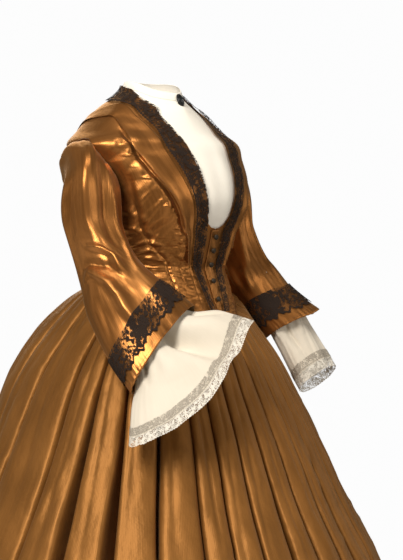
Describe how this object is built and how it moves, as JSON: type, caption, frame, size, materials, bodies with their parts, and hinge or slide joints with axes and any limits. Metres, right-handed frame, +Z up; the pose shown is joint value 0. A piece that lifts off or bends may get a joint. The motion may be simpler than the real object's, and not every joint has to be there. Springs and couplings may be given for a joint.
{
  "type": "dress",
  "caption": "Worn silk satin day dress, hollow and open at neck, hem and cuffs, with a fitted bodice, flared sleeves, a full pleated skirt and lace trim.",
  "frame": {"origin": "midway between the two points where the shoulders meet the neck, where the dress is held", "axes": "+Z up, the front of the dress faces -Y, and the dress's own left side is +X"},
  "size_m": [1.2282, 1.2244, 1.418],
  "materials": {
    "satin": "glossy silk satin",
    "black_lace": "fine black lace",
    "muslin": "fine cream cotton muslin",
    "cream_lace": "fine cream lace",
    "covered_button": "thread-covered",
    "collar_button": "glossy black"
  },
  "bodies": {
    "root": {"bodice_back": "satin", "bodice_front_left": "satin", "bodice_front_right": "satin", "bodice_side_left": "satin", "bodice_side_right": "satin", "bretelle_left": "satin", "bretelle_right": "satin", "front_closing": "satin", "sleeve_left": "satin", "sleeve_right": "satin", "skirt_front": "satin", "skirt_side_front_left": "satin", "skirt_side_front_right": "satin", "skirt_side_back_left": "satin", "skirt_side_back_right": "satin", "skirt_back": "satin", "lace_front_left": "black_lace", "lace_front_right": "black_lace", "lace_cuff_left": "black_lace", "lace_cuff_right": "black_lace", "chemisette": "muslin", "collar": "muslin", "undersleeve_left": "muslin", "undersleeve_right": "muslin", "lace_edging_left": "cream_lace", "lace_edging_right": "cream_lace", "front_button_1": "covered_button", "front_button_2": "covered_button", "front_button_3": "covered_button", "front_button_4": "covered_button", "front_button_5": "covered_button", "collar_button": "collar_button"}
  },
  "joints": []
}
